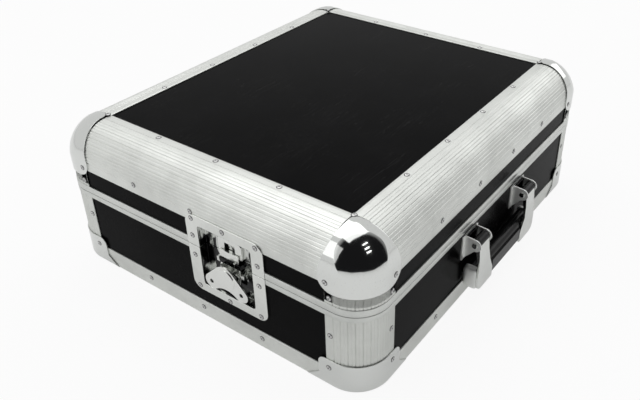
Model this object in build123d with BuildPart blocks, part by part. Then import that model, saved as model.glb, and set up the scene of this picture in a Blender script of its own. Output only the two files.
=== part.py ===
from build123d import *
from math import pi
import os

# Turntable flight case: plywood panels held in fluted aluminium profiles, ball corners,
# a lid hinged at the rear, a recessed butterfly latch in each end and a drop handle in front.
# Millimetres. +Z is up and -Y is the handle side. The pieces are drawn about the middle of the
# case, and each is saved about the bottom centre of the whole, handle and hinges included.

# Outer size of the case, over the flat faces of the aluminium profiles
case_width = 530.0
case_depth = 455.0
top_height = 188.6
foot_height = 1.6

# Panels and profiles
ply = 7.0
bottom_ply = 9.0
skin = 1.5
round_radius = 40.0
lip = 10.0
side_lip = 11.4
channel = 10.4
channel_play = 0.5
flute_size = 0.6
flute_count = 9
edge_leg = 22.8

# Closing profiles, which meet at the parting line
lid_height = 83.6
parting_gap = 0.6
base_band = 6.6
lid_band = 8.4
band_proud = 0.6
band_web = 1.7
groove_roof = 1.2
tongue_height = 4.0
tongue_width = 3.0
tongue_offset = 3.9
tongue_draft = 8.0
tongue_side_play = 0.8
tongue_top_play = 0.6

# Chrome corners
corner_sheet = 1.4
ball_trim_radius = 44.8
ball_trim_inset = 40.0
ball_trim_drop = 42.7
ball_depth = 61.5
ball_block = 120.0
dome_radius = 50.0
dome_inset = 46.0
foot_block = 100.0
foot_reach = 61.0
foot_tail = 78.0
foot_tail_height = 1.0
foot_shoulder_rise = 4.0
foot_shoulder_inset = 8.0
foot_top = 38.0
foot_round = 14.0
foot_edge_round = 2.6

# Foam lining
foam_play = 1.4
foam_corner_radius = 34.0
foam_top_radius = 30.0
foam_floor = 15.0
foam_roof = 13.6
base_foam_drop = 5.0
lid_foam_rise = 4.0
side_foam_width = 37.0
front_foam_width = 49.5
bay_corner_radius = 8.0

# Recessed latch, one in each end. Heights are counted from the parting line, except where a
# name says that the piece keeps its distance from another.
latch_offset = -46.5
dish_width = 110.0
dish_lap = 9.3
dish_depth = 61.5
dish_corner_radius = 12.0
dish_flange = 1.3
dish_rim = 1.4
pocket_width = 76.0
pocket_margin = 3.0
pocket_drop = 50.5
pocket_corner_radius = 4.0
pocket_depth = 11.0
dish_sheet = 1.2
cutout_play = 0.3

wing_drop = 25.0
wing_sheet = 2.0
wing_play = 1.4
wing_end_offset = 21.6
wing_end_drop = 11.5
wing_end_radius = 9.4
wing_hole_radius = 2.6
wing_boss_radius = 16.5
wing_waist_drop = 14.3
wing_waist_radius = 25.2
boss_disc_radius = 13.0
boss_disc_height = 0.9
axle_radius = 2.4
axle_play = 0.06
cam_radius = 6.0
cam_rim = 0.2
cam_offset = 3.5
cam_play = 0.95
cam_side_play = 0.4

hook_width = 27.0
hook_sheet = 2.0
hook_standoff = 3.5
hook_rise = 6.0
hook_drop = 38.5
nose_width = 11.0
nose_height = 2.4
nose_reach = 2.8
guide_width = 34.0
guide_drop = 10.0
guide_height = 6.0
guide_play = 0.3
guide_sheet = 1.2
strike_width = 34.0
strike_rise = 1.0
strike_slot_width = 15.0
strike_slot_rise = 15.5
strike_height = 20.5
strike_chamfer = 3.0
strike_sheet = 3.0

# Drop handle on the front
handle_offset = 8.0
bracket_spacing = 126.0
bracket_plate_width = 36.0
bracket_plate_drop = 12.0
bracket_plate_height = 33.0
bracket_sheet = 1.6
bracket_gap = 24.4
pin_drop = 21.0
pin_reach = 14.5
pin_radius = 2.0
pin_play = 0.06
pin_hole_play = 0.03
pin_head_radius = 3.4
pin_head_height = 1.2
eye_radius = 6.0
cheek_radius = 8.0
arm_play = 0.5
arm_reach = 23.0
arm_outer_flare = 2.3
arm_sheet = 3.0
arm_foot_width = 38.0
arm_neck = 8.0
arm_flare_start = 28.0
arm_flare_end = 50.0
arm_length = 64.0
arm_outer_rise = 10.0
arm_shoulder = 3.0
arm_corner_radius = 10.0
grip_height = 29.0
grip_thickness = 17.0
grip_round = 8.0
grip_drop = 1.0
grip_end = 2.0
pad_drop = 0.6

# Rear hinges
hinge_spacing = 280.0
hinge_width = 60.0
hinge_knuckle = 20.0
hinge_gap = 0.3
hinge_sheet = 1.5
hinge_knuckle_radius = 3.9
hinge_pin_radius = 1.5
hinge_pin_play = 0.05
hinge_leaf_height = 32.0
hinge_lid_leaf_height = 31.0
hinge_joggle = 4.2
hinge_bend = 0.6
hinge_band_play = 0.3
hinge_head_height = 1.0
hinge_head_radius = 2.6
hinge_pin_hole = 0.02

# Rivets
rivet_radius = 2.6
rivet_top_radius = 1.7
rivet_height = 1.1
rivet_sides = 8
post_rivet_inset = 44.0
post_rivet_drop = 33.3
foot_rivet_inset = 46.0
foot_rivet_height = 27.0
edge_rivet_height = 14.0
short_rivet_rise = 16.0
ball_rivet_inset = 47.5
ball_rivet_drop = 48.6
lip_rivet_inset = 45.0
hinge_rivet_step = 22.0
side_rivet_places = (-0.195, 0.001, 0.197)
front_rivet_places = (-0.2385, -0.0762, 0.0860, 0.2438)
dish_rivet_inset = 9.5
dish_rivet_edge = 5.3
dish_rivet_side = 8.5
dish_rivet_middle_inset = 3.4
dish_rivet_low = 13.0
dish_rivet_high = 13.5

# Derived places
half_w = case_width / 2
half_d = case_depth / 2
cover = round_radius + lip
side_cover = round_radius + side_lip
panel_x = half_w - skin
panel_y = half_d - skin
inner_x = panel_x - ply
inner_y = panel_y - ply
ledge_inset = 2 * skin + ply
profile_bottom = top_height - side_cover
parting_height = top_height - lid_height
base_top = parting_height - parting_gap / 2
lid_bottom = parting_height + parting_gap / 2
base_band_bottom = base_top - base_band
lid_band_top = lid_bottom + lid_band
floor_bottom = foot_height + skin
floor_top = floor_bottom + bottom_ply
wall_top = base_top - band_web
groove_top = lid_bottom + tongue_height + tongue_top_play
strip_bottom = groove_top + groove_roof
panel_grip = channel - channel_play
pocket_floor = half_w + dish_flange - pocket_depth
pocket_top = profile_bottom - pocket_margin
pocket_bottom = parting_height - pocket_drop
dish_top = profile_bottom + dish_lap
dish_bottom = parting_height - dish_depth
wing_height = parting_height - wing_drop
pin_height = parting_height - pin_drop
arm_front = -panel_y - arm_reach
hinge_y = half_d + band_proud + hinge_band_play + hinge_knuckle_radius
centre_shift = -(arm_front + hinge_y + hinge_knuckle_radius) / 2


def save(part, name):
    """Move one piece to the frame of the whole case, label it and write it as its own file."""
    piece = part.moved(Location((0, centre_shift, 0)))
    piece.label = name
    export_step(piece, f"parts/{name}.step")


def block(x0, x1, y0, y1, z0, z1, mode=Mode.ADD):
    """A box between two corners, inside the part being built."""
    with Locations(((x0 + x1) / 2, (y0 + y1) / 2, (z0 + z1) / 2)):
        Box(abs(x1 - x0), abs(y1 - y0), abs(z1 - z0), mode=mode)


def rounded_ring(z0, z1, outer, inner, taper=0.0, mode=Mode.ADD):
    """A ring that follows the case outline, from the inset outer to the inset inner."""
    with BuildSketch(Plane.XY.offset(z0)) as ring:
        RectangleRounded(case_width - 2 * outer, case_depth - 2 * outer, round_radius - outer)
        RectangleRounded(
            case_width - 2 * inner, case_depth - 2 * inner, round_radius - inner, mode=Mode.SUBTRACT
        )
    extrude(ring.sketch, amount=z1 - z0, taper=taper, mode=mode)


def fluted_profile(plane, length, second_cover):
    """A rounded edge profile. The plane's origin is the sharp outer corner of the case,
    its x and y axes run inwards along the two faces, and the profile runs along its normal."""
    with BuildPart() as profile:
        with BuildSketch(plane):
            with BuildLine():
                Line((cover, 0), (round_radius, 0))
                TangentArc((round_radius, 0), (0, round_radius), tangent=(-1, 0))
                Polyline((0, round_radius), (0, second_cover), (skin, second_cover), (skin, round_radius))
                TangentArc((skin, round_radius), (round_radius, skin), tangent=(0, -1))
                Polyline((round_radius, skin), (cover, skin), (cover, 0))
            make_face()
            web = cover - channel - skin
            second_web = second_cover - channel - skin
            corner = (Align.MIN, Align.MIN)
            with Locations((web, skin / 2)):
                Rectangle(skin, ply + 1.5 * skin, align=corner)
            with Locations((web, skin + ply)):
                Rectangle(channel + skin, skin, align=corner)
            with Locations((skin / 2, second_web)):
                Rectangle(ply + 1.5 * skin, skin, align=corner)
            with Locations((skin + ply, second_web)):
                Rectangle(skin, channel + skin, align=corner)
            with Locations((round_radius, round_radius)):
                with PolarLocations(round_radius, flute_count, start_angle=180, angular_range=90):
                    Rectangle(flute_size, flute_size, rotation=45, mode=Mode.SUBTRACT)
        extrude(amount=length)
    return profile.part


def mirrored(part, flip_x, flip_y):
    """A copy of a piece that was built at the -X -Y corner, mirrored to another corner."""
    if flip_x:
        part = part.mirror(Plane.YZ)
    if flip_y:
        part = part.mirror(Plane.XZ)
    return part


corners = {
    "front_left": (False, False),
    "front_right": (True, False),
    "rear_left": (False, True),
    "rear_right": (True, True),
}
latch_low = latch_offset - pocket_width / 2 - dish_sheet - cutout_play
latch_high = latch_offset + pocket_width / 2 + dish_sheet + cutout_play
cutout_bottom = pocket_bottom - dish_sheet - cutout_play
cutout_top = pocket_top + dish_sheet + cutout_play
os.makedirs("parts", exist_ok=True)

# Base panels. The walls stand on the bottom board, in the channels of the corner profiles.
with BuildPart() as base_bottom_panel:
    with BuildSketch(Plane.XY.offset(floor_bottom)):
        RectangleRounded(case_width - 2 * skin, case_depth - 2 * skin, round_radius - skin)
    extrude(amount=bottom_ply)
save(base_bottom_panel.part, "base_bottom_panel")

wall_half_x = half_w - cover + panel_grip
wall_half_y = half_d - cover + panel_grip
for name, side in (("base_front_panel", -1), ("base_rear_panel", 1)):
    with BuildPart() as wall:
        block(-wall_half_x, wall_half_x, side * inner_y, side * panel_y, floor_top, wall_top)
    save(wall.part, name)
for name, side in (("base_left_panel", -1), ("base_right_panel", 1)):
    with BuildPart() as wall:
        block(side * inner_x, side * panel_x, -wall_half_y, wall_half_y, floor_top, wall_top)
        block(
            side * (inner_x - ply), side * (panel_x + ply), latch_low, latch_high, cutout_bottom,
            wall_top + ply, mode=Mode.SUBTRACT,
        )
    save(wall.part, name)

# Base corner profiles, upright on the bottom board
post_plane = Plane(origin=(-half_w, -half_d, floor_top), x_dir=(1, 0, 0), z_dir=(0, 0, 1))
post = fluted_profile(post_plane, base_band_bottom - floor_top, cover)
for corner_name, flips in corners.items():
    save(mirrored(post, *flips), f"base_corner_profile_{corner_name}")

# Angle profiles along the bottom edges
run_x = half_w - cover
run_y = half_d - cover
for name, side in (("base_edge_profile_front", -1), ("base_edge_profile_rear", 1)):
    with BuildPart() as edge:
        block(-run_x, run_x, side * panel_y, side * half_d, foot_height, foot_height + edge_leg)
        block(-run_x, run_x, side * (half_d - edge_leg), side * half_d, foot_height, floor_bottom)
    save(edge.part, name)
for name, side in (("base_edge_profile_left", -1), ("base_edge_profile_right", 1)):
    with BuildPart() as edge:
        block(side * panel_x, side * half_w, -run_y, run_y, foot_height, foot_height + edge_leg)
        block(side * (half_w - edge_leg), side * half_w, -run_y, run_y, foot_height, floor_bottom)
    save(edge.part, name)

# Closing profiles: a tapered tongue on the base runs in a groove of the lid. Each is a front
# and a rear piece, and their ends meet the latch pans. The band itself ends at the latch flange.
dish_low = latch_offset - dish_width / 2 - cutout_play
dish_high = latch_offset + dish_width / 2 + cutout_play
groove_near = tongue_offset - tongue_side_play
groove_far = tongue_offset + tongue_width + tongue_side_play


def cut_closing(low, high):
    """Keep one end of a closing profile, clear of the latches."""
    block(-case_width, case_width, low, high, 0, top_height, mode=Mode.INTERSECT)
    for side in (-1, 1):
        block(
            side * panel_x, side * case_width, dish_low, dish_high, 0, top_height,
            mode=Mode.SUBTRACT,
        )


for name, low, high in (
    ("front", -case_depth, latch_low),
    ("rear", latch_high, case_depth),
):
    with BuildPart() as base_closing:
        rounded_ring(base_band_bottom, base_top, -band_proud, skin)
        rounded_ring(wall_top, base_top, -band_proud, ledge_inset)
        rounded_ring(base_band_bottom, base_top, ledge_inset - skin, ledge_inset)
        rounded_ring(
            base_top, base_top + tongue_height, tongue_offset, tongue_offset + tongue_width,
            taper=tongue_draft,
        )
        cut_closing(low, high)
    save(base_closing.part, f"base_closing_profile_{name}")
    with BuildPart() as lid_closing:
        rounded_ring(lid_bottom, lid_band_top, -band_proud, skin)
        rounded_ring(lid_bottom, strip_bottom, -band_proud, ledge_inset)
        rounded_ring(lid_bottom, lid_band_top, ledge_inset - skin, ledge_inset)
        rounded_ring(lid_bottom, groove_top, groove_near, groove_far, mode=Mode.SUBTRACT)
        cut_closing(low, high)
    save(lid_closing.part, f"lid_closing_profile_{name}")

# Lid panels: a top board and four narrow strips between the closing and the rounded profiles
with BuildPart() as lid_top_panel:
    top_x = half_w - cover + panel_grip
    top_y = half_d - cover + panel_grip
    block(-top_x, top_x, -run_y - panel_grip, run_y + panel_grip, top_height - skin - ply, top_height - skin)
save(lid_top_panel.part, "lid_top_panel")

strip_top = profile_bottom + panel_grip
for name, side in (("lid_front_strip", -1), ("lid_rear_strip", 1)):
    with BuildPart() as strip:
        block(-wall_half_x, wall_half_x, side * inner_y, side * panel_y, strip_bottom, strip_top)
    save(strip.part, name)
for name, side in (("lid_left_strip", -1), ("lid_right_strip", 1)):
    with BuildPart() as strip:
        block(side * inner_x, side * panel_x, -wall_half_y, wall_half_y, strip_bottom, strip_top)
        block(
            side * (inner_x - ply), side * (panel_x + ply), latch_low, latch_high,
            strip_bottom - ply, cutout_top, mode=Mode.SUBTRACT,
        )
    save(strip.part, name)

# Rounded lid profiles with fluted arcs, and the short corner profiles below them
lid_profiles = (
    ("lid_profile_front", (run_x, -half_d, top_height), (0, 1, 0), (-1, 0, 0), 2 * run_x, False, False),
    ("lid_profile_rear", (run_x, -half_d, top_height), (0, 1, 0), (-1, 0, 0), 2 * run_x, False, True),
    ("lid_profile_left", (-half_w, -run_y, top_height), (1, 0, 0), (0, 1, 0), 2 * run_y, False, False),
    ("lid_profile_right", (-half_w, -run_y, top_height), (1, 0, 0), (0, 1, 0), 2 * run_y, True, False),
)
for name, start, inwards, along, length, flip_x, flip_y in lid_profiles:
    profile_plane = Plane(origin=start, x_dir=inwards, z_dir=along)
    profile = fluted_profile(profile_plane, length, side_cover)
    save(mirrored(profile, flip_x, flip_y), name)

short_plane = Plane(origin=(-half_w, -half_d, lid_band_top), x_dir=(1, 0, 0), z_dir=(0, 0, 1))
short_post = fluted_profile(short_plane, profile_bottom - lid_band_top, cover)
with BuildPart() as lid_corner_profiles:
    for flips in corners.values():
        add(mirrored(short_post, *flips))
save(lid_corner_profiles.part, "lid_corner_profiles")

# Ball corners: a spherical cap on three skirts that wrap the rounded profiles. The sheet is the
# space between an outer form and the same form one sheet smaller, trimmed by a sphere.
diagonal = (1, 1, -1)


def diagonal_plane(distance):
    """The plane across the corner's diagonal, at a distance from the sharp outer corner."""
    step = distance / 3**0.5
    return Plane(origin=(step - half_w, step - half_d, top_height - step), z_dir=diagonal)


def corner_form(sheet):
    """The solid form of one lid corner, grown outwards by the sheet."""
    edge_radius = round_radius + sheet
    cap_radius = dome_radius - corner_sheet + sheet
    gap = (dome_inset - round_radius) * 3**0.5
    reach = (cap_radius**2 - edge_radius**2 + gap**2) / (2 * gap)
    rim = diagonal_plane(dome_inset * 3**0.5 - reach)
    tip = (-half_w - sheet, -half_d - sheet, top_height + sheet)
    with BuildPart() as cap:
        with Locations((dome_inset - half_w, dome_inset - half_d, top_height - dome_inset)):
            Sphere(cap_radius)
        split(bisect_by=rim, keep=Keep.BOTTOM)
    with BuildPart() as form:
        block(tip[0], tip[0] + ball_block, tip[1], tip[1] + ball_block, tip[2] - ball_block, tip[2])
        fillet(form.edges().sort_by_distance(tip)[:3], edge_radius)
        split(bisect_by=rim, keep=Keep.TOP)
        add(cap.part)
    return form.part


outer_form = corner_form(corner_sheet)
inner_form = corner_form(0.0)
with BuildPart() as ball_corner:
    add(outer_form)
    add(inner_form, mode=Mode.SUBTRACT)
    with Locations((ball_trim_inset - half_w, ball_trim_inset - half_d, top_height - ball_trim_drop)):
        Sphere(ball_trim_radius, mode=Mode.INTERSECT)
    block(
        -case_width, case_width, -case_depth, case_depth, top_height - ball_depth, case_width,
        mode=Mode.INTERSECT,
    )
for corner_name, flips in corners.items():
    save(mirrored(ball_corner.part, *flips), f"ball_corner_{corner_name}")

# Bottom corners, which the case stands on
def foot_outline(start):
    """The side view of a bottom corner, from its outer face inwards along one side of the case."""
    return (
        (start, 0), (start + foot_tail, 0), (start + foot_tail, foot_tail_height),
        (start + foot_reach, foot_round), (start + foot_reach, foot_top - foot_shoulder_rise),
        (start + foot_reach - foot_shoulder_inset, foot_top), (start, foot_top),
    )


with BuildPart() as bottom_corner:
    low_x = -half_w - corner_sheet
    low_y = -half_d - corner_sheet
    block(low_x, low_x + foot_block, low_y, low_y + foot_block, 0, foot_top)
    upright = bottom_corner.edges().filter_by(Axis.Z).sort_by_distance((low_x, low_y, 0))[0]
    fillet(upright, round_radius + corner_sheet)
    rim_edges = bottom_corner.faces().sort_by(Axis.Z)[0].edges().sort_by_distance((low_x, low_y, 0))
    fillet(rim_edges[:3], foot_edge_round)
    with BuildSketch(Plane.XZ.offset(case_depth)):
        with BuildLine():
            Polyline(*foot_outline(low_x), close=True)
        make_face()
    extrude(amount=-2 * case_depth, mode=Mode.INTERSECT)
    with BuildSketch(Plane.YZ.offset(-case_width)):
        with BuildLine():
            Polyline(*foot_outline(low_y), close=True)
        make_face()
    extrude(amount=2 * case_width, mode=Mode.INTERSECT)
    with BuildSketch(Plane.XY.offset(foot_height)):
        RectangleRounded(case_width, case_depth, round_radius)
    extrude(amount=case_width, mode=Mode.SUBTRACT)
for corner_name, flips in corners.items():
    save(mirrored(bottom_corner.part, *flips), f"bottom_corner_{corner_name}")

# Foam lining, with a bay for the turntable and hollow over it in the lid
foam_w = case_width - 2 * (ledge_inset + foam_play)
foam_d = case_depth - 2 * (ledge_inset + foam_play)
foam_ceiling = top_height - ledge_inset
bay_width = case_width - 2 * side_foam_width
bay_depth = case_depth - 2 * front_foam_width
base_foam_top = parting_height - base_foam_drop
lid_foam_bottom = parting_height + lid_foam_rise
with BuildPart() as base_floor_foam:
    with BuildSketch(Plane.XY.offset(floor_top)):
        RectangleRounded(foam_w, foam_d, foam_corner_radius)
    extrude(amount=foam_floor)
save(base_floor_foam.part, "base_floor_foam")
with BuildPart() as base_side_foam:
    with BuildSketch(Plane.XY.offset(floor_top + foam_floor)):
        RectangleRounded(foam_w, foam_d, foam_corner_radius)
        RectangleRounded(bay_width, bay_depth, bay_corner_radius, mode=Mode.SUBTRACT)
    extrude(amount=base_foam_top - floor_top - foam_floor)
save(base_side_foam.part, "base_side_foam")
with BuildPart() as lid_foam:
    with BuildSketch(Plane.XY.offset(lid_foam_bottom)):
        RectangleRounded(foam_w, foam_d, foam_corner_radius)
    extrude(amount=foam_ceiling - lid_foam_bottom)
    fillet(lid_foam.faces().sort_by(Axis.Z)[-1].edges(), foam_top_radius)
    with BuildSketch(Plane.XY.offset(lid_foam_bottom)):
        RectangleRounded(bay_width, bay_depth, bay_corner_radius)
    extrude(amount=foam_ceiling - foam_roof - lid_foam_bottom, mode=Mode.SUBTRACT)
save(lid_foam.part, "lid_foam")

# Recessed latch dish: a flange with a turned-down rim around a pan, split at the parting line
dish_middle = (dish_top + dish_bottom) / 2
pocket_middle = (pocket_top + pocket_bottom) / 2
dish_height = dish_top - dish_bottom
pocket_height = pocket_top - pocket_bottom
flange_face = half_w + dish_flange
end_face = Plane.YZ.offset(-half_w)


def dish_half(z0, z1):
    """The part of the left dish between two heights."""
    outline = (dish_width, dish_height, dish_corner_radius)
    rim_inner = (dish_width - 2 * dish_rim, dish_height - 2 * dish_rim, dish_corner_radius - dish_rim)
    pan_outer = (pocket_width + 2 * dish_sheet, pocket_height + 2 * dish_sheet, pocket_corner_radius + dish_sheet)
    pocket = (pocket_width, pocket_height, pocket_corner_radius)
    with BuildPart() as dish:
        with BuildSketch(end_face):
            with Locations((latch_offset, dish_middle)):
                RectangleRounded(*outline)
        extrude(amount=-dish_flange)
        with BuildSketch(end_face):
            with Locations((latch_offset, dish_middle)):
                RectangleRounded(*outline)
                RectangleRounded(*rim_inner, mode=Mode.SUBTRACT)
        extrude(amount=skin)
        block(-half_w, -panel_x, -case_depth, case_depth, profile_bottom, case_width, mode=Mode.SUBTRACT)
        with BuildSketch(Plane.YZ.offset(-flange_face)):
            with Locations((latch_offset, pocket_middle)):
                RectangleRounded(*pan_outer)
        extrude(amount=pocket_depth + dish_sheet)
        with BuildSketch(Plane.YZ.offset(-flange_face)):
            with Locations((latch_offset, pocket_middle)):
                RectangleRounded(*pocket)
        extrude(amount=pocket_depth, mode=Mode.SUBTRACT)
        block(-case_width, 0, -case_depth, case_depth, z0, z1, mode=Mode.INTERSECT)
    return dish.part


hook_back = pocket_floor + hook_standoff
hook_face = hook_back + hook_sheet
guide_inner = hook_width / 2 + guide_play
with BuildPart() as left_base_latch_dish:
    add(dish_half(0, base_top))
    strap_face = hook_face + guide_play + guide_sheet
    low_side = latch_offset - guide_width / 2
    high_side = latch_offset + guide_width / 2
    guide_bottom = parting_height - guide_drop
    guide_top = guide_bottom + guide_height
    block(-strap_face, -pocket_floor, low_side, high_side, guide_bottom, guide_top)
    block(
        guide_sheet - strap_face, -pocket_floor, latch_offset - guide_inner, latch_offset + guide_inner,
        guide_bottom, guide_top, mode=Mode.SUBTRACT,
    )
    with BuildSketch(Plane.YZ.offset(-flange_face)):
        with Locations((latch_offset, wing_height)):
            Circle(axle_radius + axle_play)
    extrude(amount=pocket_depth + dish_sheet, mode=Mode.SUBTRACT)
save(left_base_latch_dish.part, "left_base_latch_dish")
save(left_base_latch_dish.part.mirror(Plane.YZ), "right_base_latch_dish")

left_lid_latch_dish = dish_half(lid_bottom, top_height)
save(left_lid_latch_dish, "left_lid_latch_dish")
save(left_lid_latch_dish.mirror(Plane.YZ), "right_lid_latch_dish")

# Keepers on the lid pans, with a slot that the hook's nose moves in
strike_bottom = parting_height + strike_rise
strike_slot_top = parting_height + strike_slot_rise
strike_top = strike_bottom + strike_height
with BuildPart() as strike:
    with BuildSketch(Plane.YZ.offset(-pocket_floor)):
        with BuildLine():
            Polyline(
                (latch_offset - strike_width / 2, strike_bottom),
                (latch_offset - strike_slot_width / 2, strike_bottom),
                (latch_offset - strike_slot_width / 2, strike_slot_top),
                (latch_offset + strike_slot_width / 2, strike_slot_top),
                (latch_offset + strike_slot_width / 2, strike_bottom),
                (latch_offset + strike_width / 2, strike_bottom),
                (latch_offset + strike_width / 2, strike_top - strike_chamfer),
                (latch_offset + strike_width / 2 - strike_chamfer, strike_top),
                (latch_offset - strike_width / 2 + strike_chamfer, strike_top),
                (latch_offset - strike_width / 2, strike_top - strike_chamfer),
                close=True,
            )
        make_face()
    extrude(amount=-strike_sheet)
with BuildPart() as strike_plates:
    add(strike.part)
    add(strike.part.mirror(Plane.YZ))
save(strike_plates.part, "strike_plates")

# Butterfly wing with its axle and eccentric cam
with BuildPart() as left_wing:
    with BuildSketch(Plane.YZ.offset(-flange_face - wing_play)):
        with Locations((latch_offset, wing_height)):
            Circle(wing_boss_radius)
        with Locations(
            (latch_offset - wing_end_offset, wing_height - wing_end_drop),
            (latch_offset + wing_end_offset, wing_height - wing_end_drop),
        ):
            Circle(wing_end_radius)
        make_hull()
        with Locations((latch_offset, wing_height - wing_waist_drop - wing_waist_radius)):
            Circle(wing_waist_radius, mode=Mode.SUBTRACT)
        with Locations(
            (latch_offset - wing_end_offset, wing_height - wing_end_drop),
            (latch_offset + wing_end_offset, wing_height - wing_end_drop),
        ):
            Circle(wing_hole_radius, mode=Mode.SUBTRACT)
    extrude(amount=-wing_sheet)
    with BuildSketch(Plane.YZ.offset(-flange_face - wing_play - wing_sheet)):
        with Locations((latch_offset, wing_height)):
            Circle(boss_disc_radius)
    extrude(amount=-boss_disc_height)
    with BuildSketch(Plane.YZ.offset(-flange_face - wing_play)):
        with Locations((latch_offset, wing_height)):
            Circle(axle_radius)
    extrude(amount=wing_play + pocket_depth + dish_sheet)
    with BuildSketch(Plane.YZ.offset(-hook_face - cam_rim)):
        with Locations((latch_offset, wing_height - cam_offset)):
            Circle(cam_radius)
    extrude(amount=hook_sheet + 2 * cam_rim)
save(left_wing.part, "left_wing")
save(left_wing.part.mirror(Plane.YZ), "right_wing")

# Hook plates, which the cams lift
hook_top = parting_height + hook_rise
hook_bottom = parting_height - hook_drop
with BuildPart() as left_hook:
    low_side = latch_offset - hook_width / 2
    high_side = latch_offset + hook_width / 2
    block(-hook_face, -hook_back, low_side, high_side, hook_bottom, hook_top)
    block(
        -hook_back, nose_reach - hook_back, latch_offset - nose_width / 2, latch_offset + nose_width / 2,
        hook_top - nose_height, hook_top,
    )
    window_half = cam_offset + cam_radius + cam_side_play
    window_rise = cam_radius + cam_play
    block(
        -hook_face - 1, 1 - hook_back, latch_offset - window_half, latch_offset + window_half,
        wing_height - cam_offset - window_rise, wing_height - cam_offset + window_rise, mode=Mode.SUBTRACT,
    )
save(left_hook.part, "left_hook")
save(left_hook.part.mirror(Plane.YZ), "right_hook")

# Handle brackets, pins, arms and grip
pin_y = -panel_y - pin_reach
cheek_outer = bracket_gap / 2 + bracket_sheet
bracket_plate_top = parting_height - bracket_plate_drop
bracket_plate_bottom = bracket_plate_top - bracket_plate_height
bracket_middles = (handle_offset - bracket_spacing / 2, handle_offset + bracket_spacing / 2)
for name, middle in zip(("left", "right"), bracket_middles):
    with BuildPart() as bracket:
        block(
            middle - bracket_plate_width / 2, middle + bracket_plate_width / 2,
            -panel_y - bracket_sheet, -panel_y, bracket_plate_bottom, bracket_plate_top,
        )
        with BuildSketch(Plane.YZ.offset(middle - cheek_outer)):
            with BuildLine():
                Polyline(
                    (-panel_y, bracket_plate_top), (-panel_y, bracket_plate_bottom),
                    (pin_y, pin_height - cheek_radius), (pin_y, pin_height + cheek_radius), close=True,
                )
            make_face()
            with Locations((pin_y, pin_height)):
                Circle(cheek_radius)
        extrude(amount=2 * cheek_outer)
        block(
            middle - bracket_gap / 2, middle + bracket_gap / 2, pin_y - case_depth,
            -panel_y - bracket_sheet, 0, top_height, mode=Mode.SUBTRACT,
        )
        with BuildSketch(Plane.YZ.offset(middle - cheek_outer)):
            with Locations((pin_y, pin_height)):
                Circle(pin_radius + pin_hole_play)
        extrude(amount=2 * cheek_outer, mode=Mode.SUBTRACT)
    save(bracket.part, f"handle_bracket_{name}")

with BuildPart() as handle_pins:
    for middle in bracket_middles:
        with Locations(Location((middle, pin_y, pin_height), (0, 90, 0))):
            Cylinder(pin_radius, 2 * cheek_outer)
        for side in (-1, 1):
            head_middle = middle + side * (cheek_outer + pin_head_height / 2)
            with Locations(Location((head_middle, pin_y, pin_height), (0, 90, 0))):
                Cylinder(pin_head_radius, pin_head_height)
save(handle_pins.part, "handle_pins")

arm_top_width = bracket_gap - 2 * arm_play
arm_outer = bracket_spacing / 2 + arm_top_width / 2 + arm_outer_flare
neck_height = pin_height - cheek_radius - arm_neck
arm_flare_top = pin_height - arm_flare_start
arm_flare_bottom = pin_height - arm_flare_end
arm_bottom = pin_height - arm_length
with BuildPart() as handle_arm:
    with BuildSketch(Plane.YZ.offset(-arm_outer)):
        with BuildLine():
            Polyline(
                (pin_y, pin_height), (pin_y - eye_radius, pin_height), (arm_front, arm_flare_top),
                (arm_front, arm_bottom), (arm_front + arm_sheet, arm_bottom),
                (arm_front + arm_sheet, arm_flare_top), (pin_y, pin_height - eye_radius + 0.5), close=True,
            )
        make_face()
        with Locations((pin_y, pin_height)):
            Circle(eye_radius)
    extrude(amount=arm_foot_width)
    with BuildSketch(Plane.XZ.offset(case_depth)):
        with BuildLine():
            arm_left = -bracket_spacing / 2 - arm_top_width / 2
            arm_right = arm_left + arm_top_width
            Polyline(
                (arm_left, case_width), (arm_right, case_width), (arm_right, neck_height),
                (arm_right + arm_shoulder, arm_flare_top - arm_shoulder),
                (arm_foot_width - arm_outer, arm_flare_bottom),
                (arm_foot_width - arm_outer, arm_bottom), (-arm_outer, arm_bottom),
                (-arm_outer, arm_flare_bottom + arm_outer_rise), (arm_left, neck_height), close=True,
            )
        make_face()
    extrude(amount=-2 * case_depth, mode=Mode.INTERSECT)
    foot_edge = handle_arm.edges().filter_by(Axis.Y).sort_by(Axis.Z)[:2].sort_by(Axis.X)[0]
    fillet(foot_edge, arm_corner_radius)
    with BuildSketch(Plane.YZ.offset(-case_width)):
        with Locations((pin_y, pin_height)):
            Circle(pin_radius + pin_play)
    extrude(amount=2 * case_width, mode=Mode.SUBTRACT)
handle_place = Location((handle_offset, 0, 0))
save(handle_arm.part.moved(handle_place), "handle_arm_left")
save(handle_arm.part.mirror(Plane.YZ).moved(handle_place), "handle_arm_right")

grip_low = arm_bottom + grip_drop
grip_half = arm_outer - grip_end
with BuildPart() as handle_grip:
    block(
        handle_offset - grip_half, handle_offset + grip_half, arm_front + arm_sheet,
        arm_front + arm_sheet + grip_thickness, grip_low, grip_low + grip_height,
    )
    long_edges = handle_grip.edges().filter_by(Axis.X).sort_by(Axis.Z)
    fillet(long_edges[2:], grip_round)
    fillet(handle_grip.edges().filter_by(Axis.X).sort_by(Axis.Z)[:2], grip_round / 2)
    pad_half = arm_outer - arm_foot_width - arm_play
    block(
        handle_offset - pad_half, handle_offset + pad_half, arm_front + pad_drop,
        arm_front + arm_sheet + grip_round, grip_low + grip_round / 2, grip_low + grip_height - grip_round,
    )
save(handle_grip.part, "handle_grip")

# Rear hinges: joggled leaves that step out over the closing bands
leaf_inner = hinge_y - hinge_knuckle_radius
leaf_step = leaf_inner - panel_y
hinge_step_low = base_band_bottom - hinge_joggle
hinge_step_high = lid_band_top + hinge_joggle
hinge_middles = (-hinge_spacing / 2, hinge_spacing / 2)


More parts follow.
